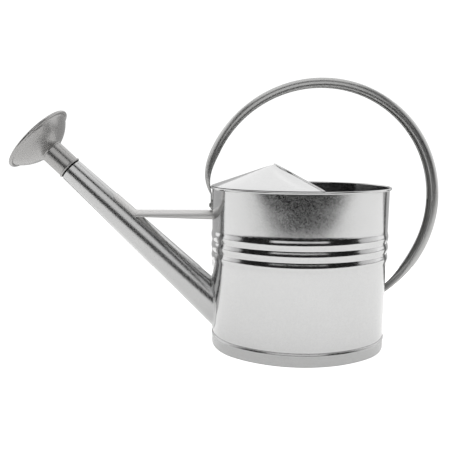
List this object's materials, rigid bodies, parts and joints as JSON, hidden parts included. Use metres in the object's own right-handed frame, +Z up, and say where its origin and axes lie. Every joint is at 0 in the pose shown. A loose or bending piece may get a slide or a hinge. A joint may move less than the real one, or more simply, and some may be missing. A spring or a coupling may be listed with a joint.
{
  "type": "watering can",
  "caption": "Oval galvanised watering can with a long braced spout, pull-off rose, half-cone splash hood, ribbed body and a large hooped handle.",
  "frame": {"origin": "middle of the oval body on the plane that the foot hoop rests on", "axes": "+X from the spout to the handle's back, in the plane of the hoop; +Y across the body; +Z up"},
  "size_m": [0.6495, 0.206, 0.4104],
  "materials": {
    "galvanised_sheet": "bright zinc coating with fine spangle",
    "spout_sheet": "bright zinc coating, rolled lengthwise",
    "strip_steel": "zinc-coated strip, satin",
    "steel_wire": "drawn zinc-coated wire",
    "rivets": "zinc-plated, dull",
    "rose_sheet": "spun zinc-coated sheet, slightly dull",
    "seal_rubber": "matt black"
  },
  "bodies": {
    "can": {"wall_shell": "galvanised_sheet", "rim_wire": "steel_wire", "foot_hoop": "galvanised_sheet", "base_plate": "galvanised_sheet", "splash_hood": "galvanised_sheet", "hood_hem_wire": "steel_wire", "spout_tube": "spout_sheet", "spout_collar": "spout_sheet", "spout_brace": "strip_steel", "handle_hoop": "strip_steel", "handle_rivet_front": "rivets", "handle_rivet_rear": "rivets", "rivet_washer_front": "rivets", "rivet_washer_rear": "rivets"},
    "rose_grip": {"rose_seal": "seal_rubber"},
    "rose": {"rose_neck": "rose_sheet", "rose_cone": "rose_sheet", "rose_face": "rose_sheet"}
  },
  "joints": [
    {"name": "rose_pull", "type": "slide", "parent": "can", "child": "rose_grip", "axis": [-0.7212, 0, 0.6928], "range_m": [0, 0.05]},
    {"name": "rose_turn", "type": "hinge", "parent": "rose_grip", "child": "rose", "pos_m": [-0.35, 0, 0.2758], "axis": [-0.7212, 0, 0.6928], "continuous": true}
  ]
}
